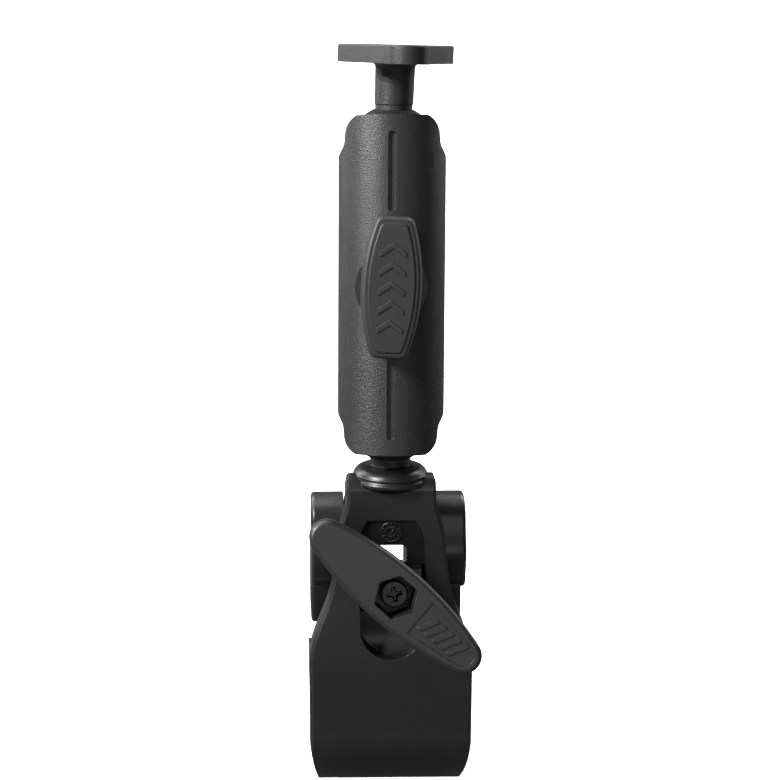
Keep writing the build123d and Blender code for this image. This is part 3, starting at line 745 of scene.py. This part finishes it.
LAMPS = (
    Lamp("key", (-0.85, -0.60, 0.70), 0.22, 31.0),
    Lamp("fill", (1.00, 0.60, 0.45), 0.40, 2.5),
    Lamp("front", (0.12, -1.20, 0.30), 0.50, 1.6),
    Lamp("rim", (-0.95, 0.60, 0.50), 0.40, 7.0),
    Lamp("top", (-0.15, -0.10, 1.30), 0.50, 5.0),
    Lamp("backdrop_left", (-0.9, 0.9, 1.6), 1.0, 60.0, WALL_FOOT),
    Lamp("backdrop_right", (0.9, 0.9, 1.6), 1.0, 60.0, WALL_FOOT),
)


def split_camera_rays(
    tree: bpy.types.NodeTree, lit: bpy.types.Node, seen: bpy.types.Node, output: str
) -> None:
    """Shows one shader to the camera and gives another to the light that bounces.

    Args:
        tree: the node tree that both shaders are in.
        lit: the shader for every other ray.
        seen: the shader for camera rays.
        output: name of the tree's output node.
    """
    mix = tree.nodes.new("ShaderNodeMixShader")
    paths = tree.nodes.new("ShaderNodeLightPath")
    tree.links.new(paths.outputs["Is Camera Ray"], mix.inputs["Fac"])
    tree.links.new(lit.outputs[0], mix.inputs[1])
    tree.links.new(seen.outputs[0], mix.inputs[2])
    tree.links.new(mix.outputs["Shader"], tree.nodes[output].inputs["Surface"])


@dataclass
class Studio:
    """Camera, lights and the pale sweep that the mount stands on."""

    camera_place: tuple = (-0.0310, -0.4515, 0.1972)
    pitch: float = 12.35
    roll: float = -0.5
    lens: float = 74.17
    shift: float = 0.141
    half_floor: float = 3.0
    wall: float = 1.6
    bend: float = 0.9
    wall_height: float = 2.0
    floor_gap: float = 0.2 * MM
    surround_strength: float = 0.10

    def camera(self) -> None:
        """Places the camera by its own position, pitch and roll in degrees."""
        data = bpy.data.cameras.new("studio_camera")
        data.lens = self.lens
        data.sensor_width = 36.0
        data.shift_x = self.shift
        data.clip_start = 0.01
        camera = bpy.data.objects.new("studio_camera", data)
        bpy.context.scene.collection.objects.link(camera)
        pitch = Matrix.Rotation(math.radians(90.0 - self.pitch), 4, "X")
        roll = Matrix.Rotation(math.radians(self.roll), 4, "Z")
        camera.matrix_world = Matrix.Translation(Vector(self.camera_place)) @ pitch @ roll
        bpy.context.scene.camera = camera

    def floor(self, level: float) -> None:
        """Pale sweep: a flat floor that bends up behind the mount into a wall.

        The section is flat, then a quarter circle of the bend's radius, then straight up.

        Args:
            level: height of the floor, metres.
        """
        quarter = np.linspace(0.0, math.pi / 2.0, 24)
        curve_back = self.wall + self.bend * np.sin(quarter)
        back = np.concatenate([[-self.half_floor], curve_back, [self.wall + self.bend]])
        rise = np.concatenate([[0.0], self.bend * (1.0 - np.cos(quarter)), [self.bend + self.wall_height]])
        side = np.array([-self.half_floor, self.half_floor])
        points = np.stack([
            np.broadcast_to(side[None, :], (len(back), 2)),
            np.broadcast_to(back[:, None], (len(back), 2)),
            np.broadcast_to(rise[:, None] + level, (len(back), 2)),
        ], axis=-1)
        faces = grid_faces(len(back), 2, wrap=False).tolist()
        sweep = make_object("studio_floor", points.reshape(-1, 3), faces)
        material = bpy.data.materials.new("pale_floor")
        material.use_nodes = True
        nodes = material.node_tree.nodes
        pale = nodes["Principled BSDF"]
        pale.inputs["Base Color"].default_value = (0.9, 0.9, 0.9, 1.0)
        pale.inputs["Roughness"].default_value = 0.9
        pale.inputs["Specular IOR Level"].default_value = 0.1
        pale.inputs["Emission Color"].default_value = (1.0, 1.0, 1.0, 1.0)
        pale.inputs["Emission Strength"].default_value = 0.55
        dim = nodes.new("ShaderNodeBsdfDiffuse")
        dim.inputs["Color"].default_value = (0.10, 0.10, 0.10, 1.0)
        split_camera_rays(material.node_tree, dim, pale, "Material Output")
        sweep.data.materials.append(material)

    def surround(self) -> None:
        """White world for the camera and a weak pale one for everything else."""
        world = bpy.data.worlds.new("studio_surround")
        world.use_nodes = True
        lit = world.node_tree.nodes["Background"]
        lit.inputs["Color"].default_value = (1.0, 1.0, 1.0, 1.0)
        lit.inputs["Strength"].default_value = self.surround_strength
        seen = world.node_tree.nodes.new("ShaderNodeBackground")
        seen.inputs["Color"].default_value = (1.0, 1.0, 1.0, 1.0)
        split_camera_rays(world.node_tree, lit, seen, "World Output")
        bpy.context.scene.world = world

    def build(self) -> None:
        """Makes the camera, the floor, the lights and the surround."""
        self.camera()
        self.floor(CAD_BOX[0][2] - self.floor_gap)
        for lamp in LAMPS:
            lamp.build()
        self.surround()
        bpy.context.scene.view_settings.view_transform = "Standard"


def main() -> None:
    """Builds the studio and every sub-assembly."""
    logging.basicConfig(level=logging.INFO, format="%(message)s")
    Studio().build()
    dresser = Dresser()
    BarClamp(dresser).build()
    ClampScrew(dresser).build()
    BallArm(dresser).build()


if __name__ == "__main__":
    main()
